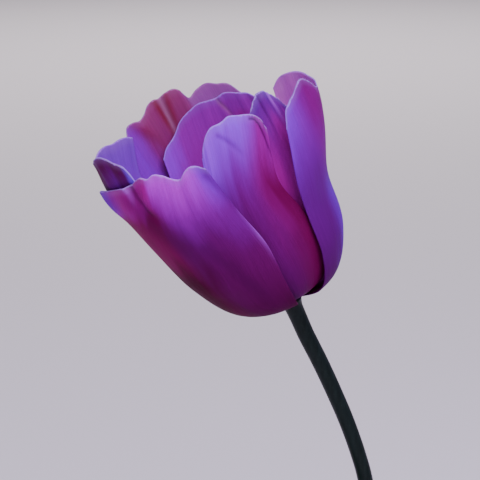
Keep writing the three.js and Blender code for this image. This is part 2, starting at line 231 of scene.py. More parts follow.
def sheet_piece(name, grid, thickness, s, t, finishes, marks=None):
    """A closed sheet round grid, which is in millimetres. finishes: outer and inner material."""
    rows, columns = grid.shape[:2]
    half = normals_of(grid) * thickness[..., None] / 2
    points = np.concatenate([(grid + half).reshape(-1, 3), (grid - half).reshape(-1, 3)])
    number = np.arange(rows * columns).reshape(rows, columns)
    a, b = number[:-1, :-1].ravel(), number[:-1, 1:].ravel()
    c, d = number[1:, 1:].ravel(), number[1:, :-1].ravel()
    inner = rows * columns
    outer_faces = np.stack([a, b, c, d], axis=1)
    inner_faces = np.stack([d, c, b, a], axis=1) + inner
    rim = np.concatenate([number[0, :-1], number[:-1, -1], number[-1, :0:-1], number[:0:-1, 0]])
    after = np.roll(rim, -1)
    rim_faces = np.stack([rim, rim + inner, after + inner, after], axis=1)
    faces = np.concatenate([outer_faces, inner_faces, rim_faces])
    piece = new_piece(name, points, faces.tolist(), finishes)
    mesh = piece.data
    slots = np.zeros(len(faces), int)
    slots[len(outer_faces):len(outer_faces) + len(inner_faces)] = 1
    mesh.polygons.foreach_set("material_index", slots)
    mesh.polygons.foreach_set("use_smooth", np.ones(len(faces), bool))
    blade = mesh.uv_layers.new(name="blade")
    place = np.stack([np.tile(s.ravel(), 2), np.tile(t.ravel(), 2)], axis=1)
    blade.data.foreach_set("uv", place[faces.ravel()].ravel())
    kept = {"to_rim": rim_distance(grid), **(marks or {})}
    for key, values in kept.items():
        data = mesh.attributes.new(key, "FLOAT", "POINT")
        data.data.foreach_set("value", np.tile(values.ravel(), 2))
    return piece


def dress(piece, node):
    """The piece stands for one solid of the model and moves with it."""
    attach(piece, "root")
    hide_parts(node)
    print(piece.name, "stands for", node, "with", len(piece.data.polygons), "faces")


# %% [markdown]
# A finish is a small network of nodes round one shader. These helpers add a node, set its numbers
# and link it, so each finish below reads as a short list: noise, a ramp of colours, some relief.

# %% Helpers for finishes
BLACK, WHITE = (0, 0, 0, 1), (1, 1, 1, 1)


def new_finish(name):
    """An empty finish, its shader, and short ways to add a node and to link two sockets."""
    material = bpy.data.materials.new(name)
    material.use_nodes = True
    tree = material.node_tree

    def add(kind, **settings):
        node = tree.nodes.new(kind)
        for key, value in settings.items():
            setattr(node, key, value)
        return node

    def link(source, target):
        tree.links.new(source, target)

    return material, tree.nodes["Principled BSDF"], add, link


def ramp(add, link, value, stops):
    """The colour at value, on a ramp of (position, colour) pairs."""
    node = add("ShaderNodeValToRGB")
    bar = node.color_ramp
    bar.interpolation = "B_SPLINE"
    while len(bar.elements) < len(stops):
        bar.elements.new(0.5)
    for element, (position, colour) in zip(bar.elements, stops):
        element.position = position
        element.color = colour
    link(value, node.inputs["Fac"])
    return node.outputs["Color"]


def math_node(add, link, operation, first, second):
    """One step of arithmetic on two numbers or sockets."""
    node = add("ShaderNodeMath", operation=operation)
    for socket, value in zip(node.inputs, (first, second)):
        if isinstance(value, (int, float)):
            socket.default_value = value
        else:
            link(value, socket)
    return node.outputs["Value"]


def mix_colour(add, link, amount, first, second, blend="MIX"):
    """The second colour over the first, by amount. Each may be a value or a socket."""
    node = add("ShaderNodeMix", data_type="RGBA", blend_type=blend)
    sockets = (node.inputs[0], node.inputs[6], node.inputs[7])
    for socket, value in zip(sockets, (amount, first, second)):
        if isinstance(value, (int, float, tuple)):
            socket.default_value = value
        else:
            link(value, socket)
    return node.outputs[2]


def map_range(add, link, value, from_low, from_high, to_low, to_high, smooth=True):
    """The value moved from one range to another, and held at its ends."""
    kind = "SMOOTHSTEP" if smooth else "LINEAR"
    node = add("ShaderNodeMapRange", interpolation_type=kind)
    settings = (from_low, from_high, to_low, to_high)
    for socket, number in zip(node.inputs[1:5], settings):
        socket.default_value = number
    link(value, node.inputs["Value"])
    return node.outputs["Result"]


def noise(add, link, vector, scale, detail=2.0, roughness=0.5):
    node = add("ShaderNodeTexNoise")
    settings = (("Scale", scale), ("Detail", detail), ("Roughness", roughness))
    for key, value in settings:
        node.inputs[key].default_value = value
    link(vector, node.inputs["Vector"])
    return node.outputs["Fac"]


def stretched(add, link, vector, scale):
    """The vector with its three parts scaled, which draws noise out along one of them."""
    node = add("ShaderNodeMapping")
    node.inputs["Scale"].default_value = scale
    link(vector, node.inputs["Vector"])
    return node.outputs["Vector"]


def blade_noise(add, link, blade, across, along, detail, roughness=0.5):
    """Noise drawn out along a blade, with so many cells across it and along it."""
    drawn_out = stretched(add, link, blade, (across, along, 1.0))
    return noise(add, link, drawn_out, 1.0, detail, roughness)


def relief(add, link, shader, height, strength, depth):
    """Fine relief in the finish alone, up to depth metres."""
    bump = add("ShaderNodeBump")
    bump.inputs["Strength"].default_value = strength
    bump.inputs["Distance"].default_value = depth
    link(height, bump.inputs["Height"])
    link(bump.outputs["Normal"], shader.inputs["Normal"])


def glow(shader, weight, reach, scale):
    """Light that soaks into thin tissue: how much, how far by colour, and the scale in metres."""
    shader.inputs["Subsurface Weight"].default_value = weight
    shader.inputs["Subsurface Radius"].default_value = reach
    shader.inputs["Subsurface Scale"].default_value = scale


print("a screen's middle grey is", round(rgb(128, 128, 128)[0], 3), "to a shader")

# %% [markdown]
# A tulip petal is darkest and reddest at its claw, strong purple in the middle and cooler and
# paler towards its frilled edge. The ramp paints this stronger than the petal has it: painted
# shade low on the blade and painted highlights near the tip. Fine veins run from claw to edge,
# and a thin pale line follows the upper rim, partly the petal's own paler margin and partly a
# painted highlight. The finish reads where a point lies on the blade from the sheet's map, so the
# colours and the veins grow with the petal. A ramp gives the bands of colour, and patches paint
# over it, mostly light and shade: brighter and bluer where a petal faces the light, darker and
# redder where it turns away. Some light soaks through the thin tissue. The skin is silky and
# reflects little, since a strong sheen would turn the deep purples milky.

# %% Petal finish
PETAL_ROUGHNESS = 0.45
VEIN_TONE = 0.1


def petal_finish(name, stops, rim_colour, pale_colour, dark_colour, patches):
    """stops: colours from claw to edge. patches: colour, its ends across and its ends along."""
    material, shader, add, link = new_finish(name)
    blade = add("ShaderNodeUVMap", uv_map="blade").outputs["UV"]
    parts = add("ShaderNodeSeparateXYZ")
    link(blade, parts.inputs[0])
    across, along = parts.outputs["X"], parts.outputs["Y"]

    # Slow noise shifts the bands of colour, so that no band ends on a straight line.
    drift = blade_noise(add, link, blade, 6.0, 2.2, 3.0)
    shift = map_range(add, link, drift, 0.2, 0.8, -0.07, 0.07, smooth=False)
    height = math_node(add, link, "ADD", along, shift)
    place = math_node(add, link, "ADD", across, shift)
    painted = ramp(add, link, height, stops)
    # Patches, mostly painted light and shade: brighter and bluer where the petal faces the light,
    # darker and redder where it turns away.
    for colour, across_ends, along_ends in patches:
        sideways = map_range(add, link, place, *across_ends, 0.0, 1.0)
        upwards = map_range(add, link, height, *along_ends, 0.0, 1.0)
        amount = math_node(add, link, "MULTIPLY", sideways, upwards)
        painted = mix_colour(add, link, amount, painted, rgb(*colour))

    # Veins: noise drawn out along the blade, as a small change of tone.
    streaks = blade_noise(add, link, blade, 46.0, 2.4, 4.0, 0.6)
    fine = blade_noise(add, link, blade, 170.0, 5.0, 3.0, 0.55)
    both = math_node(add, link, "ADD", math_node(add, link, "MULTIPLY", streaks, 0.5), fine)
    level = map_range(add, link, both, 0.5, 1.0, 1.0 - VEIN_TONE, 1.0 + VEIN_TONE, smooth=False)
    tone = add("ShaderNodeCombineColor")
    for socket in tone.inputs:
        link(level, socket)
    veined = mix_colour(add, link, 1.0, painted, tone.outputs["Color"], "MULTIPLY")

    # Crease marks: dark ones paint shade into creases and folds, and pale ones paint highlights on
    # ridges and edges, except on a midrib, where pale is its own paler colour. They are kept with
    # the sheet as marks.
    dark = add("ShaderNodeAttribute", attribute_name="dark").outputs["Fac"]
    pale = add("ShaderNodeAttribute", attribute_name="pale").outputs["Fac"]
    creased = mix_colour(add, link, dark, veined, dark_colour)
    marked = mix_colour(add, link, pale, creased, pale_colour)

    # A thin pale line along the upper edge, broken up by the veins: partly the petal's own paler
    # margin and partly a painted highlight, with a faint painted sheen fading below it.
    rim = add("ShaderNodeAttribute", attribute_name="to_top").outputs["Fac"]
    breaks = map_range(add, link, streaks, 0.3, 0.7, 0.0, 0.5)
    uneven = math_node(add, link, "SUBTRACT", rim, breaks)
    line = map_range(add, link, uneven, 0.0, 0.3, 0.45, 0.0)
    edge_sheen = map_range(add, link, rim, 0.3, 3.5, 0.15, 0.0)
    amount = math_node(add, link, "ADD", line, edge_sheen)
    link(mix_colour(add, link, amount, marked, rim_colour), shader.inputs["Base Color"])

    relief(add, link, shader, both, 0.5, 0.00022)
    rough = map_range(add, link, streaks, 0.3, 0.7, PETAL_ROUGHNESS - 0.05, PETAL_ROUGHNESS + 0.08,
                      smooth=False)
    link(rough, shader.inputs["Roughness"])
    glow(shader, 0.12, (1.0, 0.12, 0.75), 0.0025)
    shader.inputs["Specular IOR Level"].default_value = 0.01
    shader.inputs["Specular Tint"].default_value = rgb(130, 70, 255)
    return material


# %% [markdown]
# The bloom has its own frame: z runs along its leaning axis from the foot, and the azimuth is
# counted in degrees from the front, to the right. A petal is a curved blade between two side edges,
# closed by its frilled upper edge. The numbers are those of the model's petals, so each one lies on
# its solid. Only the back petal's left edge, which its neighbour hides, reaches a little further,
# and the fold of the front inner petal is shorter and sits a little higher.
# radius and height follow the blade from its claw to its tip, and first and last are the azimuths
# of its two side edges. top is the upper edge: azimuth and share of the length. A fold is a soft
# bulge: azimuth, half width in degrees, share of the length, half length, millimetres outwards.

# %% Petal shapes
PETALS = {
    "tepal_outer_left": dict(
        radius=[4.5, 18.8, 27.4, 32.4, 36.3, 38], height=[0, 5, 18.5, 34, 50, 66.5],
        first=[-96, -100, -102, -98, -92, -84], last=[20, 14, 11, 10, 4, -1],
        top=[(-84, 0.86), (-81, 0.905), (-76, 0.933), (-66, 0.947), (-52, 0.967), (-43, 0.978),
             (-36, 1.003), (-32, 1.013), (-29, 1.004), (-25, 1.014), (-21, 1.005), (-18, 0.985),
             (-14, 0.97), (-10, 0.995), (-7, 1.005), (-4, 0.997), (-1, 0.975)],
        folds=[(-84, 15, 0.92, 0.1, 3), (-84, 14, 0.84, 0.05, 0.7), (-43, 5, 0.97, 0.12, -1.2)]),
    "tepal_outer_right": dict(
        radius=[4.5, 18.5, 25.8, 28.7, 34.7, 36.5], height=[0, 4.6, 17.5, 33, 50, 67],
        first=[40, 44, 44, 42, 38, 42], last=[138, 146, 148, 148, 148, 147],
        top=[(42, 0.955), (45, 1.012), (49, 1.027), (54, 1.041), (58, 1.06), (63, 1.063),
             (72, 1.025), (82, 0.978), (92, 0.952), (102, 0.955), (115, 0.958), (123, 0.965),
             (133, 0.96), (141, 0.942), (147, 0.905)],
        folds=[(92, 28, 0.74, 0.17, -2.8), (90, 22, 1.05, 0.07, -2)]),
    "tepal_outer_back": dict(
        radius=[4.5, 18, 27, 31, 34, 38], height=[0, 4.5, 18, 35, 52, 69.5],
        first=[152, 153, 154, 154, 153, 152], last=[240, 238, 236, 238, 245, 243],
        top=[(152, 0.8), (158, 0.85), (165, 0.889), (171, 0.942), (177, 0.958), (182, 0.974),
             (188, 0.966), (193, 0.951), (194.3, 0.968), (195.5, 0.99), (198, 1.006), (203, 1.006),
             (207, 0.998), (210, 1.005), (214, 0.999), (218, 0.978), (222, 0.967), (227, 0.976),
             (230.5, 0.972), (233, 0.945), (237, 0.91), (242, 0.87)],
        folds=[(244, 16, 0.75, 0.35, 1.6), (207, 4, 0.9, 0.25, 0.8)]),
    "tepal_inner_front": dict(
        radius=[4.2, 16.5, 25.3, 30, 31, 29.5], height=[1.4, 6.1, 19.5, 36, 53, 70],
        first=[-14, -22, -24, -20, -11, -3], last=[44, 56, 54, 43, 31, 38],
        top=[(-3, 0.94), (-1, 0.97), (3, 1.006), (8, 1.03), (15, 1.033), (20, 1.04), (26, 1.026),
             (32, 1.01), (35, 0.995), (37.5, 0.966), (38, 0.935)],
        folds=[(50, 16, 0.58, 0.2, -2.8)]),
    "tepal_inner_left": dict(
        radius=[4.2, 17, 25.5, 31, 36.2, 38.2], height=[1.5, 6.5, 19, 35, 51, 68],
        first=[-126, -128, -126, -121, -116, -125], last=[-62, -54, -48, -46, -44, -42],
        top=[(-125, 0.958), (-122, 0.972), (-118, 0.982), (-112, 0.986), (-106, 1), (-100, 1.002),
             (-93, 1), (-86, 0.996), (-78, 1.012), (-70, 1.04), (-63, 1.065), (-57, 1.073),
             (-52, 1.058), (-47, 1.041), (-43.5, 1.02), (-42, 0.97)],
        folds=[(-30, 34, 0.85, 0.5, -3.5), (-80, 30, 0.5, 0.25, -1.3), (-140, 26, 0.88, 0.38, -4.8),
               (-92, 25, 0.88, 0.1, 1.2)]),
    "tepal_inner_right": dict(
        radius=[4, 13.6, 21.2, 26.4, 28.8, 27.2], height=[2.9, 7.8, 20.5, 36.5, 53, 70],
        first=[28, 25, 22, 22, 26, 33], last=[66, 76, 78, 78, 74, 68],
        top=[(34, 0.985), (38, 1.013), (43, 1.034), (48, 1.044), (53, 1.04), (57, 1.02),
             (61, 0.998), (65, 0.95), (70, 0.93)],
        folds=[(55, 4, 1, 0.15, -0.6)]),
    "tepal_inner_back": dict(
        radius=[4, 15, 23, 27, 29.5, 31], height=[2.4, 7.4, 20, 36, 51, 67],
        first=[142, 140, 140, 142, 146, 152], last=[222, 234, 238, 238, 234, 228],
        top=[(152, 0.89), (158, 0.926), (165, 0.943), (173, 0.959), (179, 0.95), (184, 0.953),
             (190, 0.959), (197, 0.948), (205, 0.928), (213, 0.888), (222, 0.863), (228, 0.83)],
        folds=[]),
}
print(len(PETALS), "petals, up to", max(max(p["height"]) for p in PETALS.values()), "mm high")

# %% [markdown]
# Each point of a petal gets an azimuth and a share of the length first, and its radius and height
# follow from those. The upper rows bend to the frilled edge, and the lower ones stay plain.

# %% Petal surface
# Brings azimuths to the scale of the shares, so that the curve of the upper edge runs evenly.
DEGREES_PER_LENGTH = 40

BLOOM_AXIS = unit(np.array([-0.392, -0.144, 0.909]))
bloom_right = unit(np.array([1.0, 0, 0]) - BLOOM_AXIS[0] * BLOOM_AXIS)
bloom_back = np.cross(BLOOM_AXIS, bloom_right)


def in_bloom(points):
    """From the bloom's own frame to the vase's frame, both in millimetres."""
    axes = np.stack([bloom_right, bloom_back, BLOOM_AXIS])
    return BLOOM_BASE + np.asarray(points) @ axes


def petal_grid(petal, rows, columns):
    """The petal's middle surface, and each point's s, t, azimuth and share of the length."""
    t, s = np.meshgrid(np.linspace(0, 1, rows), np.linspace(0, 1, columns), indexing="ij")
    edge = [(azimuth / DEGREES_PER_LENGTH, share, 0) for azimuth, share in petal["top"]]
    top = line_through(edge, s)
    top_azimuth = top[..., 0] * DEGREES_PER_LENGTH
    top_share = top[..., 1]
    start, end = petal["top"][0], petal["top"][-1]
    first, last = through(petal["first"], t), through(petal["last"], t)
    azimuth = first + (last - first) * s
    azimuth = azimuth + t ** 4 * (top_azimuth - (start[0] + (end[0] - start[0]) * s))
    level = start[1] + (end[1] - start[1]) * s
    share = t * (level + (top_share - level) * t ** 2)
    radius = through(petal["radius"], share)
    for at, half_width, where, half_length, out in petal["folds"]:
        near = ((azimuth - at) / half_width) ** 2 + ((share - where) / half_length) ** 2
        radius = radius + out * np.exp(-near)
    angle = np.radians(azimuth)
    height = through(petal["height"], share)
    grid = np.stack([radius * np.sin(angle), -radius * np.cos(angle), height], axis=-1)
    return grid, s, t, azimuth, share


print("the bloom leans", round(math.degrees(math.acos(BLOOM_AXIS[2]))), "degrees")

# %% [markdown]
# Fine relief is added to the middle surface along its normal: long soft veins, small ruffles that
# grow towards the frilled edge, and the creases that a real petal gets as it opens. The veins and
# ruffles are sines of different lengths, so no repeat shows, and each run gives the same petal.
# A crease is a line drawn on the blade by azimuth and share of the length, pushed in or out.

# %% Petal relief
# Millimetres on the blade for one degree of azimuth and for its whole length.
AZIMUTH_MM = 0.56
SHARE_MM = 76.0


def line_distance(azimuth, share, path):
    """Millimetres from each point of the blade to a line on it, and the place along that line."""
    here = np.stack([azimuth * AZIMUTH_MM, share * SHARE_MM], axis=-1)
    nodes = np.array([(a * AZIMUTH_MM, h * SHARE_MM) for a, h in path])
    best = np.full(azimuth.shape, np.inf)
    run = np.zeros(azimuth.shape)
    for k, (start, end) in enumerate(zip(nodes, nodes[1:])):
        way = end - start
        f = np.clip((here - start) @ way / (way @ way), 0, 1)
        gap = np.linalg.norm(here - (start + f[..., None] * way), axis=-1)
        run = np.where(gap < best, (k + f) / (len(nodes) - 1), run)
        best = np.minimum(best, gap)
    return best, run


def long_veins(s, t, seed):
    """Soft lengthwise veins, about -1..1."""
    x = s + (0.03 * np.sin(3.1 * t + seed) + 0.02 * np.sin(7.3 * t + 2 * seed)) * (s - 0.5)
    waves = np.sin(47 * x + seed) + 0.7 * np.sin(83 * x + 1.7 * seed)
    waves = waves + 0.5 * np.sin(131 * x + 2.9 * seed)
    return waves / 2.2 * (0.6 + 0.4 * np.sin(11 * x + 5 * t + seed))


def edge_ruffles(s, t, seed):
    """Small waves along the upper edge, about -1..1, that die out down the blade."""
    waves = np.sin(19 * s + 2 * seed + 3 * t) + 0.6 * np.sin(37 * s + seed - 4 * t)
    waves = waves + 0.35 * np.sin(71 * s + 3 * seed)
    return waves / 1.95 * soft_step(0.78, 1.0, t)


VEIN_DEPTH = 0.035
RUFFLE = 0.32
PETAL_MIDDLE = 0.75
PETAL_RIM = 0.35
ROWS, COLUMNS = 150, 170


def make_petal(name, finishes, seed, creases=()):
    """creases: (path, half width in mm, mm outwards, dark share, pale share). The dark
    share paints shade into the crease; the pale share paints a highlight on it, except on a midrib,
    where it is the midrib's own paler colour.
    """
    grid, s, t, azimuth, share = petal_grid(PETALS[name], ROWS, COLUMNS)
    raised = VEIN_DEPTH * long_veins(s, t, seed) * soft_step(0.02, 0.3, t)
    raised = raised + RUFFLE * edge_ruffles(s, t, seed)
    marks = {"dark": np.zeros(s.shape), "pale": np.zeros(s.shape), "to_top": top_distance(grid)}
    for path, half_width, out, dark, pale in creases:
        gap, run = line_distance(azimuth, share, path)
        near = np.exp(-(gap / half_width) ** 2) * (1 - soft_step(0.45, 1.0, run))
        raised = raised + out * near
        marks["dark"] = np.maximum(marks["dark"], dark * near)
        marks["pale"] = np.maximum(marks["pale"], pale * near)
    grid = grid + normals_of(grid) * raised[..., None]
    thin = soft_step(0, 9, rim_distance(grid))
    thickness = PETAL_RIM + (PETAL_MIDDLE - PETAL_RIM) * thin
    piece = sheet_piece(name + "_petal", in_bloom(grid), thickness, s, t, finishes, marks)
    dress(piece, name)


print("each petal is a grid of", ROWS, "by", COLUMNS, "points")

# %% [markdown]
# Each petal gets its own two finishes, since the outside of a petal is deeper in colour than the
# inside, and each petal carries its own painted light and shade. A patch is a colour and two
# ranges. It fades in across the blade over the first range and along it over the second, and a
# range that runs downwards fades in the other way round. Most patches are painted highlights and
# painted shade.

# %% Petal colours
WHOLE_LENGTH = (0, 0.1)


# On the outside, dark is the colour of the painted shade in creases, pale that of their painted
# highlights, and rim that of the pale upper edge, which is partly a painted highlight.
def outside(name, low=(88, 0, 84), middle=(110, 0, 120), high=(120, 0, 140), tip=(130, 30, 150),
            claw=(66, 0, 52), patches=(), rim=(176, 140, 240), dark=(60, 0, 60),
            pale=(196, 90, 250)):
    # The stops are the petal's own darker claw and paler edge, painted stronger: painted shade low on
    # the blade and painted highlights near the tip.
    stops = [(0.2, rgb(*claw)), (0.45, rgb(*low)), (0.7, rgb(*middle)), (0.84, rgb(*high)),
             (0.97, rgb(*tip))]
    return petal_finish(name, stops, rgb(*rim), rgb(*pale), rgb(*dark), patches)


# On the inside, dark is the colour of the painted shade in creases, and pale mostly a midrib's own
# paler colour.
def inside(name, low=(88, 0, 84), middle=(116, 0, 130), tip=(136, 20, 176), patches=(),
           rim=(170, 120, 220), dark=(90, 0, 60), pale=(150, 96, 130)):
    stops = [(0.2, rgb(66, 0, 52)), (0.5, rgb(*low)), (0.8, rgb(*middle)), (0.97, rgb(*tip))]
    return petal_finish(name, stops, rgb(*rim), rgb(*pale), rgb(*dark), patches)


print("the claw's dark red is", [round(value, 3) for value in rgb(66, 0, 52)[:3]])

# %% [markdown]
# The three outer petals come first. The creases follow the real bloom: a fold sets off the left
# petal's lip, darkened with painted shade and with a painted highlight on its crest, and a painted
# highlight follows its right edge. Dark bands across its middle and lower part, and one inside its
# right edge, are painted shade. The back petal carries a pale midrib, its own colour, between two
# dark furrows of brownish painted shade, and painted shade darkens its left fold. The right petal
# is a boat that shows its bright inside at the top.

# %% Outer petals
# The left petal's outside is painted brighter along its top, bluest at the top right and on the lip,
# where the light falls, and darker and redder over its left side, darkest low down, where it turns
# from the light.
make_petal("tepal_outer_left", (
    outside("outer_left_outside", low=(100, 0, 90), middle=(102, 0, 102), high=(122, 0, 150),
            tip=(216, 0, 255), claw=(70, 0, 50), patches=[
                ((120, 0, 146), (0.84, 1.0), (0.6, 0.76)),
                ((124, 0, 84), (0.66, 0.46), (0.98, 0.84)),
                ((72, 0, 42), (0.74, 0.5), (0.68, 0.5)),
                ((170, 0, 150), (0.54, 0.44), (0.82, 0.93)),
                ((116, 0, 190), (0.26, 0.14), (0.84, 0.92)),
                ((150, 0, 240), (0.76, 1.0), (0.8, 0.97))]),
    inside("outer_left_inside")), 0.7, creases=[
        ([(-48, 1.05), (-48, 0.97), (-47, 0.944), (-47, 0.87)], 0.8, 0.35, 0, 0.6),
        ([(-45, 1.0), (-44, 0.92), (-41, 0.876), (-35, 0.817), (-31, 0.74)], 1.6, -0.6, 0.6, 0),
        ([(-0.5, 1.0), (-1.5, 0.95), (1.5, 0.88), (4, 0.8), (7, 0.7)], 1.4, -0.25, 0.6, 0),
        ([(-47, 0.9), (-40, 0.8), (-33, 0.7), (-28, 0.58), (-25, 0.42)], 4.5, 0, 0.45, 0),
        ([(-20, 0.66), (-14, 0.56), (-8, 0.42), (-4, 0.28), (-2, 0.1)], 3.2, -0.1, 0.3, 0),
        ([(6.5, 0.78), (8, 0.72), (9, 0.66), (10.5, 0.58), (12, 0.45)], 1.1, 0, 0, 0.6)])

# The right petal's outside is painted redder on the upper part of its right side, where it turns from
# the light, with a bluish painted sheen low on that side; inside it a dark painted shade lies near its
# upper front edge.
make_petal("tepal_outer_right", (
    outside("outer_right_outside", low=(88, 0, 108), middle=(100, 0, 128), high=(114, 0, 166),
            tip=(136, 10, 230), claw=(80, 0, 84), patches=[
                ((124, 0, 120), (0.0, 0.36), (0.6, 0.92)),
                ((104, 0, 176), (0.16, 0.4), (0.78, 0.6))]),
    inside("outer_right_inside", low=(110, 0, 110), middle=(236, 60, 240), tip=(255, 140, 255),
           patches=[((120, 0, 90), (0.4, 0.26), (0.7, 0.9))])), 2.1)

make_petal("tepal_outer_back", (
    outside("outer_back_outside"),
    # The back petal's inside is bluer along its left edge and paler along its right; its midrib is
    # pale in its own colour, and a brownish painted shade darkens the furrows beside it and its left
    # fold.
    inside("outer_back_inside", low=(96, 0, 84), middle=(112, 0, 96), tip=(132, 52, 104), patches=[
               ((124, 0, 190), (0.7, 0.9), WHOLE_LENGTH),
               ((136, 66, 148), (0.46, 0.3), WHOLE_LENGTH)],
           rim=(160, 110, 160), pale=(140, 84, 124), dark=(110, 20, 20))), 3.4, creases=[
        ([(206, 1.05), (207, 0.95), (208, 0.86), (208, 0.7)], 0.9, 0.25, 0, 0.85),
        ([(210.5, 1.0), (210, 0.94), (209.5, 0.88), (209, 0.75)], 1.1, -0.3, 0.7, 0),
        ([(203.5, 1.0), (204.5, 0.94), (205.5, 0.88), (206, 0.75)], 1.0, -0.3, 0.6, 0),
        ([(229, 1.0), (226, 0.95), (222, 0.9), (216, 0.8)], 1.8, -0.6, 0.5, 0)])

# %% [markdown]
# The four inner petals stand in the gaps of the outer ones. The front one has a slanting dent and
# a rolled right edge, both darkened with painted shade. The narrow one beside it has two creases
# down from its tip: a groove darkened with painted shade and a ridge with a painted highlight. The
# back one has a pale midrib. The left one turns its dark outside to the eye below its violet
# inside, and that dark is mostly painted shade.

# %% Inner petals
# The front inner petal's outside carries a bluish painted highlight at its tip and upper left, and is
# painted redder on its right side, and darker lower down, as shade where it turns from the light.
make_petal("tepal_inner_front", (
    outside("inner_front_outside", low=(102, 0, 104), middle=(106, 0, 112), high=(120, 0, 148),
            tip=(150, 44, 255), claw=(84, 0, 86), patches=[
                ((146, 0, 150), (0.56, 0.8), (0.5, 0.6)),
                ((106, 0, 76), (0.5, 0.85), (0.96, 0.76)),
                ((158, 44, 255), (0.42, 0.2), (0.76, 0.92))]),
    inside("inner_front_inside")), 4.6, creases=[
        ([(10, 0.995), (12.5, 0.975), (15, 0.95), (18, 0.91), (20, 0.87)], 0.7, -0.25, 0.35, 0),
        ([(31, 0.997), (33.5, 0.985), (34.7, 0.96), (34.5, 0.93), (34, 0.88), (33, 0.8),
          (32, 0.72)], 0.42, -0.4, 0.9, 0)])

# The left inner petal's outside is painted dark, mostly as shade, with a violet band and a bluish
# painted highlight along its front edge, where it catches the light.
make_petal("tepal_inner_left", (
    outside("inner_left_outside", low=(80, 0, 70), middle=(90, 0, 90), high=(100, 0, 100),
            tip=(88, 0, 70), patches=[
                ((120, 0, 170), (0.45, 0.8), (0.98, 0.84)),
                ((130, 60, 255), (0.86, 1.0), WHOLE_LENGTH)]),
    inside("inner_left_inside", middle=(118, 0, 196), tip=(120, 56, 186))), 5.8)

# The narrow right petal's magenta is painted brighter, most of all on its right side: painted light
# that stands in for the light passing through the petals around it and lifts the shade under the right
# outer petal.
make_petal("tepal_inner_right", (
    outside("inner_right_outside", low=(146, 0, 126), middle=(156, 0, 144), high=(140, 0, 144),
            tip=(100, 16, 150), claw=(120, 0, 90), patches=[
                ((180, 0, 176), (0.3, 0.55), (0.95, 0.84))]),
    inside("inner_right_inside")), 6.9, creases=[
        ([(46, 1.06), (46, 1.0), (46, 0.95), (45, 0.8)], 0.8, -0.45, 0.5, 0),
        ([(54, 1.06), (55, 1.0), (56, 0.96), (55, 0.85)], 0.7, 0.35, 0, 0.5)])

make_petal("tepal_inner_back", (
    outside("inner_back_outside", tip=(130, 30, 160)),
    inside("inner_back_inside", low=(96, 0, 96), middle=(142, 0, 152), tip=(140, 20, 166), patches=[
               ((146, 10, 220), (0.7, 0.95), (0.75, 0.92)),
               ((150, 0, 118), (0.4, 0.25), (0.95, 0.85))],
           rim=(150, 110, 226))), 8.2, creases=[
        ([(180, 1.0), (178, 0.93), (174, 0.87), (170, 0.75)], 0.8, 0.3, 0, 0.5)])

# %% [markdown]
# Stem, ovary and stamens are rods: rings of points square to a smooth line, joined by walls. Each
# ring has its own radius, and a slight wobble keeps it from looking machined.

# %% Rods
def ring_walls(rings, sides):
    """The number of each point, the next one round its ring, and the faces between rings."""
    number = np.arange(rings * sides).reshape(rings, sides)
    turned = np.roll(number, -1, axis=1)
    corners = (number[:-1], turned[:-1], turned[1:], number[1:])
    return number, turned, np.stack([corner.ravel() for corner in corners], axis=1)


def rod_piece(name, centres, radii, sides, finish, wobble=0.0, seed=0.0):
    """A closed rod through centres, in millimetres."""
    centres = np.asarray(centres, float)
    along = unit(np.gradient(centres, axis=0))
    right = unit(np.array([1.0, 0, 0]) - along[:, :1] * along)
    back = np.cross(along, right)
    angle = np.linspace(0, 2 * math.pi, sides, endpoint=False)
    run = np.linspace(0, 1, len(centres))[:, None]
    waves = np.sin(3 * angle + 9 * run + seed) + 0.6 * np.sin(7 * angle - 14 * run + seed)
    radius = np.asarray(radii, float)[:, None] * (1 + wobble * waves)
    points = centres[:, None] + right[:, None] * (radius * np.cos(angle))[..., None]
    points = points + back[:, None] * (radius * np.sin(angle))[..., None]
    number, _, walls = ring_walls(len(centres), sides)
    faces = walls.tolist() + [number[0, ::-1].tolist(), number[-1].tolist()]
    piece = new_piece(name, points.reshape(-1, 3), faces, [finish])
    piece.data.polygons.foreach_set("use_smooth", [True] * len(walls) + [False, False])
    return piece


print("a rod of 5 rings with 8 sides has", len(ring_walls(5, 8)[2]), "walls")

# %% [markdown]
# The stem's skin is waxy and almost black-green under the bloom, and greener lower down. Noise
# drawn out along z gives its fibres, and a finer noise its pale specks. Other green parts share it.

# %% Waxy skin
FIBRE_STRETCH = (1.0, 1.0, 0.12)
LOWER_STEM = (0.21, 0.1)


def mixed(first, second):
    """The colour halfway between two."""
    return tuple((a + b) / 2 for a, b in zip(first, second))


def waxy_green(name, dark, light, speck, gloss=0.4, lower=None):
    """Plant skin: fibres drawn out along z, small specks and a thin wax. lower: colour below."""
    material, shader, add, link = new_finish(name)
    place = add("ShaderNodeTexCoord").outputs["Object"]
    fibres = noise(add, link, stretched(add, link, place, FIBRE_STRETCH), 900.0, 5.0)
    bands = ramp(add, link, fibres, [(0.3, dark), (0.7, light)])
    dots = ramp(add, link, noise(add, link, place, 1400.0), [(0.62, BLACK), (0.72, WHITE)])
    amount = math_node(add, link, "MULTIPLY", dots, 0.35)
    skin = mix_colour(add, link, amount, bands, speck)
    if lower:
        height = add("ShaderNodeSeparateXYZ")
        link(place, height.inputs[0])
        down = map_range(add, link, height.outputs["Z"], *LOWER_STEM, 0.0, 0.85)
        fresh = mix_colour(add, link, fibres, lower, mixed(lower, speck))
        skin = mix_colour(add, link, down, skin, fresh)
    link(skin, shader.inputs["Base Color"])
    relief(add, link, shader, fibres, 0.35, 0.0003)
    shader.inputs["Roughness"].default_value = 0.42
    shader.inputs["Specular IOR Level"].default_value = gloss
    return material


print("lower stem: from", LOWER_STEM[0], "m down to", LOWER_STEM[1], "m")

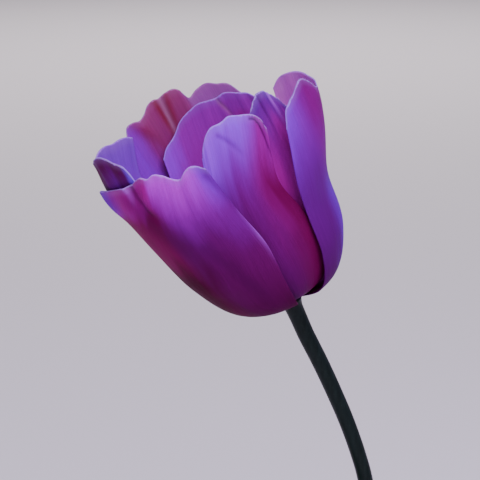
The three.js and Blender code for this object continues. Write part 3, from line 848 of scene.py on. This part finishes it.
# %% [markdown]
# The stem is one rod from the vase's floor to the bloom. It widens at its top into the receptacle
# that carries the petals, given here as heights and radii in the bloom's own frame.

# %% Stem
STEM_CENTRES = [
    (8, 3, 10.1), (2, 2.2, 55), (-4.5, 1.2, 100), (-11, 0, 145), (-16.2, -1.6, 180),
    (-20.6, -3, 212), (-25.6, -3.9, 241.8), (-28.1, -4.2, 250.9), (-32.4, -4.7, 263.3),
    (-36.9, -5.3, 274.2), (-41.9, -6.1, 285.4), (-47, -7.1, 295.9),
]
STEM_RADII = [3.5, 3.3, 3.15, 3, 2.85, 2.7, 2.65, 2.65, 2.7, 2.75, 2.8, 2.85]
RECEPTACLE = [(-9, 2.9), (-4.5, 3.05), (-2.2, 3.7), (-1, 4.7), (-0.75, 3.5), (3.2, 3.35)]

run = np.linspace(0, 1, 150)
receptacle_line = in_bloom([(0, 0, z) for z, _ in RECEPTACLE])
stem_line = np.vstack([line_through(STEM_CENTRES, run), receptacle_line])
stem_radii = np.concatenate([through(STEM_RADII, run), [radius for _, radius in RECEPTACLE]])
stem_skin = waxy_green("stem_skin", rgb(10, 17, 16), rgb(22, 33, 34), rgb(40, 52, 50), gloss=0.12,
                       lower=rgb(58, 92, 48))
stem_rod = rod_piece("stem_rod", stem_line, stem_radii, 40, stem_skin, wobble=0.006, seed=1.3)
dress(stem_rod, "stem")

# %% [markdown]
# Two leaves come out of the vase's mouth and hang over. A tulip leaf is a long trough with parallel
# veins, a grey wax and softly waved edges, and its foot clasps the stem. It is the same kind of
# sheet as a petal. Each row is an arc square to the rib, as wide and as round as the row needs.

# %% Leaves
LEAVES = {
    "leaf_lower": dict(
        rib=[(-1.5, 1.2, 110), (5.2, 1, 133), (13.6, 0, 158), (20.9, -2, 184), (33, -6, 209),
             (54, -12, 224), (78, -19, 219), (100, -26, 198), (113, -30, 172)],
        half_width=[7, 11, 14, 17.5, 13, 1.5], trough=[4.7, 11, 15, 30, 30, 9],
        waves=3.5, wave_height=2.2),
    "leaf_upper": dict(
        rib=[(-22.3, -3.2, 195), (-27, -5, 208), (-36, -9, 221), (-49, -17, 230), (-64, -26, 227),
             (-77, -34, 214)],
        half_width=[7, 10.5, 12.5, 12.5, 9, 1.3], trough=[4.3, 9, 16, 22, 20, 8],
        waves=2.5, wave_height=1.6),
}


def leaf_grid(leaf, rows, columns):
    """The leaf's middle surface: a trough that bends along its rib, with waved edges."""
    run = np.linspace(0, 1, rows)
    t, s = np.meshgrid(run, np.linspace(0, 1, columns), indexing="ij")
    centres = line_through(leaf["rib"], run)
    along = unit(np.gradient(centres, axis=0))
    across = unit(np.stack([-along[:, 1], along[:, 0], np.zeros(rows)], axis=1))
    inwards = np.cross(along, across)
    trough = through(leaf["trough"], t)
    side = 2 * s - 1
    angle = side * through(leaf["half_width"], t) / trough
    wave = leaf["wave_height"] * t * (1 - t) * 4 * side ** 2
    wave = wave * np.sin(2 * math.pi * leaf["waves"] * t + 1.6 * s)
    grid = centres[:, None] + across[:, None] * (trough * np.sin(angle))[..., None]
    grid = grid + inwards[:, None] * (trough * (1 - np.cos(angle)) + wave)[..., None]
    return grid, s, t


def leaf_finish(name, dark, light):
    material, shader, add, link = new_finish(name)
    blade = add("ShaderNodeUVMap", uv_map="blade").outputs["UV"]
    veins = blade_noise(add, link, blade, 40.0, 1.2, 3.0)
    bands = ramp(add, link, veins, [(0.3, dark), (0.72, light)])
    cover = ramp(add, link, noise(add, link, blade, 5.0, 4.0), [(0.4, BLACK), (0.75, WHITE)])
    amount = math_node(add, link, "MULTIPLY", cover, 0.4)
    waxed = mix_colour(add, link, amount, bands, rgb(132, 156, 140))
    rim = add("ShaderNodeAttribute", attribute_name="to_rim").outputs["Fac"]
    near = map_range(add, link, rim, 0.0, 0.9, 0.6, 0.0)
    link(mix_colour(add, link, near, waxed, rgb(150, 168, 110)), shader.inputs["Base Color"])
    relief(add, link, shader, veins, 0.5, 0.0005)
    glow(shader, 0.08, (0.3, 1.0, 0.2), 0.0015)
    shader.inputs["Roughness"].default_value = 0.5
    return material


def make_leaf(name, finishes, seed):
    """A leaf with fine veins, a raised midrib below and softly waved edges."""
    grid, s, t = leaf_grid(LEAVES[name], 140, 60)
    normal = normals_of(grid)
    side = 2 * s - 1
    out = 0.08 * np.sin(70 * s + seed) * soft_step(0.05, 0.2, t)
    out = out + 0.35 * np.exp(-(side / 0.06) ** 2)
    out = out + 0.5 * np.sin(19 * t + 2 * side + seed) * side ** 4 * soft_step(0.15, 0.4, t)
    grid = grid - normal * out[..., None]
    thickness = 0.45 + 0.65 * (1 - np.abs(side)) ** 1.5
    piece = sheet_piece(name + "_blade", grid, thickness, s, t, finishes)
    dress(piece, name)


leaf_under = leaf_finish("leaf_underside", rgb(58, 88, 62), rgb(92, 124, 88))
leaf_over = leaf_finish("leaf_upperside", rgb(44, 78, 48), rgb(78, 114, 70))
make_leaf("leaf_lower", (leaf_under, leaf_over), 0.4)
make_leaf("leaf_upper", (leaf_under, leaf_over), 2.6)

# %% [markdown]
# Vase and water are round about one upright axis. A cylinder could be pushed into shape, but an
# outline of radii and heights is easier to measure. Its corners are rounded, and it is turned
# about the axis.

# %% Turned bodies
FOOT_RADIUS = 31.0
BODY_RADIUS = 23.0
RIM_RADIUS = 25.4
WALL = 2.7
FLOOR = 9.0
VASE_HEIGHT = 180.0
WATER_LEVEL = 104.0


def inner_radius(z):
    return BODY_RADIUS - WALL + 1.6 * float(soft_step(140, VASE_HEIGHT, z))


def turned_piece(name, outline, sides, finish):
    """A body turned about the upright axis, from (radius, height) pairs in millimetres."""
    outline = np.asarray(outline, float)
    angle = np.linspace(0, 2 * math.pi, sides, endpoint=False)
    middle = outline[1:-1]
    rings = np.stack([middle[:, :1] * np.cos(angle), middle[:, :1] * np.sin(angle),
                      np.repeat(middle[:, 1:], sides, axis=1)], axis=-1)
    low, high = (0, 0, outline[0, 1]), (0, 0, outline[-1, 1])
    points = np.vstack([rings.reshape(-1, 3), low, high])
    number, turned, walls = ring_walls(len(middle), sides)
    start, end = len(points) - 2, len(points) - 1
    caps = [(start, b, a) for a, b in zip(number[0].tolist(), turned[0].tolist())]
    caps = caps + [(end, a, b) for a, b in zip(number[-1].tolist(), turned[-1].tolist())]
    piece = new_piece(name, points, walls.tolist() + caps, [finish])
    piece.data.polygons.foreach_set("use_smooth", [True] * len(piece.data.polygons))
    return piece


def rounded(outline, steps, sharp):
    """The same outline with smooth curves between its corners, except at the sharp ones."""
    result = []
    last = len(outline) - 1
    stops = [0, *sharp, last]
    for begin, end in zip(stops, stops[1:]):
        part = np.asarray(outline[begin:end + 1], float)
        if len(part) < 3:
            result.extend(part[:-1].tolist())
            continue
        flat = np.column_stack([part, np.zeros(len(part))])
        curve = line_through(flat, np.linspace(0, 1, steps * (end - begin) + 1))
        result.extend(curve[:-1, :2].tolist())
    result.append(list(outline[-1]))
    return result


def clear_finish(name, tint, ior, ripple):
    """Glass or water: clear, with faint smears in its polish and a slight ripple."""
    material, shader, add, link = new_finish(name)
    shader.inputs["Base Color"].default_value = tint
    shader.inputs["Alpha"].default_value = 0.62
    shader.inputs["Transmission Weight"].default_value = 1.0
    shader.inputs["IOR"].default_value = ior
    place = add("ShaderNodeTexCoord").outputs["Object"]
    smears = noise(add, link, place, 60.0, 3.0)
    rough = map_range(add, link, smears, 0.45, 0.8, 0.005, 0.06, smooth=False)
    link(rough, shader.inputs["Roughness"])
    relief(add, link, shader, noise(add, link, place, 35.0), ripple, 0.001)
    return material


print("the vase is", 2 * inner_radius(20), "mm wide inside")

# %% [markdown]
# The vase is clear pressed glass with a thick foot, a straight body and a soft rim. One outline
# runs up its outside and down its inside, since only a wall with both faces bends light as glass.

# %% Vase
vase_outline = [
    (0, 0), (FOOT_RADIUS - 1, 0), (FOOT_RADIUS, 1.2), (FOOT_RADIUS - 0.6, 3.2),
    (FOOT_RADIUS - 4, 6), (BODY_RADIUS + 1.8, 10), (BODY_RADIUS + 0.4, 16), (BODY_RADIUS, 28),
    (BODY_RADIUS, 140), (BODY_RADIUS + 0.9, 160), (RIM_RADIUS, VASE_HEIGHT - 1.2),
    (RIM_RADIUS - 0.8, VASE_HEIGHT), (RIM_RADIUS - 2.4, VASE_HEIGHT),
    (inner_radius(VASE_HEIGHT), VASE_HEIGHT - 1.6), (inner_radius(160), 160),
    (inner_radius(140), 140), (inner_radius(20), 20), (17.5, FLOOR + 2.4), (11, FLOOR + 0.3),
    (0, FLOOR),
]
glass = clear_finish("vase_glass_clear", (0.96, 0.99, 0.985, 1.0), 1.5, 0.05)
smooth_outline = rounded(vase_outline, 5, sharp=(1, 7, 8, 15, 16))
dress(turned_piece("vase_body", smooth_outline, 128, glass), "vase")

# %% [markdown]
# The water is still, and its edge climbs a little at the glass, as real water's does. It reaches
# a hair into the wall, so no film of air shows between them.

# %% Water
edge = inner_radius(20) + 0.02
water_outline = [
    (0, FLOOR + 0.05), (11, FLOOR + 0.35), (17.5, FLOOR + 2.45), (edge, 20), (edge, WATER_LEVEL),
    (edge - 0.72, WATER_LEVEL - 0.45), (edge - 2.52, WATER_LEVEL - 0.6), (0, WATER_LEVEL - 0.6),
]
clear_water = clear_finish("still_water", (0.97, 0.99, 1.0, 1.0), 1.333, 0.03)
smooth_outline = rounded(water_outline, 4, sharp=(3, 4))
dress(turned_piece("water_body", smooth_outline, 128, clear_water), "water")

# %% [markdown]
# Deep in the cup sits a pale green ovary with a three-lobed stigma. The lobes bend, so they are
# rods like the stem, joined with the ovary into one piece.

# %% Pistil
HEART_FOOT = RECEPTACLE[-1][0] + 0.3
OVARY_HEIGHT = 24.0
OVARY_RADIUS = 3.7
STIGMA_REACH = 5.2


def curved(points, steps):
    """Points of a bend drawn by its two ends and the corner between them."""
    a, b, c = (np.asarray(p, float) for p in points)
    x = np.linspace(0, 1, steps)[:, None]
    return a * (1 - x) ** 2 + 2 * b * x * (1 - x) + c * x ** 2


def spun(points, turn):
    """Points turned about the bloom's axis."""
    c, s = math.cos(turn), math.sin(turn)
    return np.asarray(points) @ np.array([[c, s, 0], [-s, c, 0], [0, 0, 1]])


def joined(name, pieces):
    """Several objects as one, the first one's materials first."""
    bpy.ops.object.select_all(action="DESELECT")
    for piece in pieces:
        piece.select_set(True)
    bpy.context.view_layer.objects.active = pieces[0]
    bpy.ops.object.join()
    pieces[0].name = name
    return pieces[0]


def powder_finish(name, colour, grain):
    material, shader, add, link = new_finish(name)
    place = add("ShaderNodeTexCoord").outputs["Object"]
    grains = noise(add, link, place, 2600.0, 2.0)
    link(ramp(add, link, grains, [(0.35, colour), (0.7, grain)]), shader.inputs["Base Color"])
    relief(add, link, shader, grains, 0.6, 0.0003)
    shader.inputs["Roughness"].default_value = 0.9
    return material


ovary_skin = waxy_green("ovary_skin", rgb(132, 150, 84), rgb(172, 184, 118), rgb(196, 202, 150))
stigma_skin = powder_finish("stigma_skin", rgb(214, 206, 138), rgb(236, 230, 178))
share = np.linspace(0, 1, 40)
radii = through([1.9, 3.4, OVARY_RADIUS, 3.5, 2.7, 2.2], share)
centres = in_bloom([(0, 0, HEART_FOOT + height * OVARY_HEIGHT) for height in share])
parts = [rod_piece("ovary", centres, radii, 36, ovary_skin, wobble=0.05)]
top = HEART_FOOT + OVARY_HEIGHT
bend = curved([(0.4, 0, top - 1.2), (3.6, 0, top + 2.4), (STIGMA_REACH, 0, top - 1)], 14)
for k in range(3):
    centres = in_bloom(spun(bend, 2 * math.pi * k / 3))
    radii = np.linspace(1.9, 1.0, 14)
    parts.append(rod_piece("stigma_lobe", centres, radii, 16, stigma_skin, wobble=0.04, seed=k))
dress(joined("pistil_body", parts), "pistil")

# %% [markdown]
# Six stamens with long anthers, dark with pollen, stand round the ovary. One is drawn and spun six
# times. Few views show them, but a look from above does.

# %% Stamens
STAMENS = 6
STAMEN_REACH = 9.4
STAMEN_TOP = 31.0

filament_skin = waxy_green("filament_skin", rgb(96, 58, 104), rgb(150, 120, 140),
                           rgb(170, 150, 160))
pollen = powder_finish("anther_pollen", rgb(32, 14, 40), rgb(74, 46, 80))
ring = np.linspace(0, 2 * math.pi, 49)
hoop = np.stack([3.05 * np.cos(ring), 3.05 * np.sin(ring), np.full(49, HEART_FOOT + 1)], axis=1)
parts = [rod_piece("collar", in_bloom(hoop), np.full(49, 0.62), 10, filament_skin)]
filament = curved([(3.4, 0, HEART_FOOT + 0.9), (7.4, 0, HEART_FOOT + 4),
                   (8.1, 0, STAMEN_TOP - 14)], 16)
filament_radii = np.linspace(0.75, 0.6, 16)
anther = curved([(8, 0, STAMEN_TOP - 15), (8.6, 0, STAMEN_TOP - 7), (STAMEN_REACH, 0, STAMEN_TOP)], 24)
anther_radii = through([0.6, 1.4, 1.6, 1.6, 1.4, 0.5], np.linspace(0, 1, 24))
for k in range(STAMENS):
    turn = 2 * math.pi * (k + 0.5) / STAMENS
    parts.append(rod_piece("filament", in_bloom(spun(filament, turn)), filament_radii, 12,
                           filament_skin))
    parts.append(rod_piece("anther", in_bloom(spun(anther, turn)), anther_radii, 16, pollen,
                           wobble=0.06, seed=k))
dress(joined("stamen_ring", parts), "stamens")
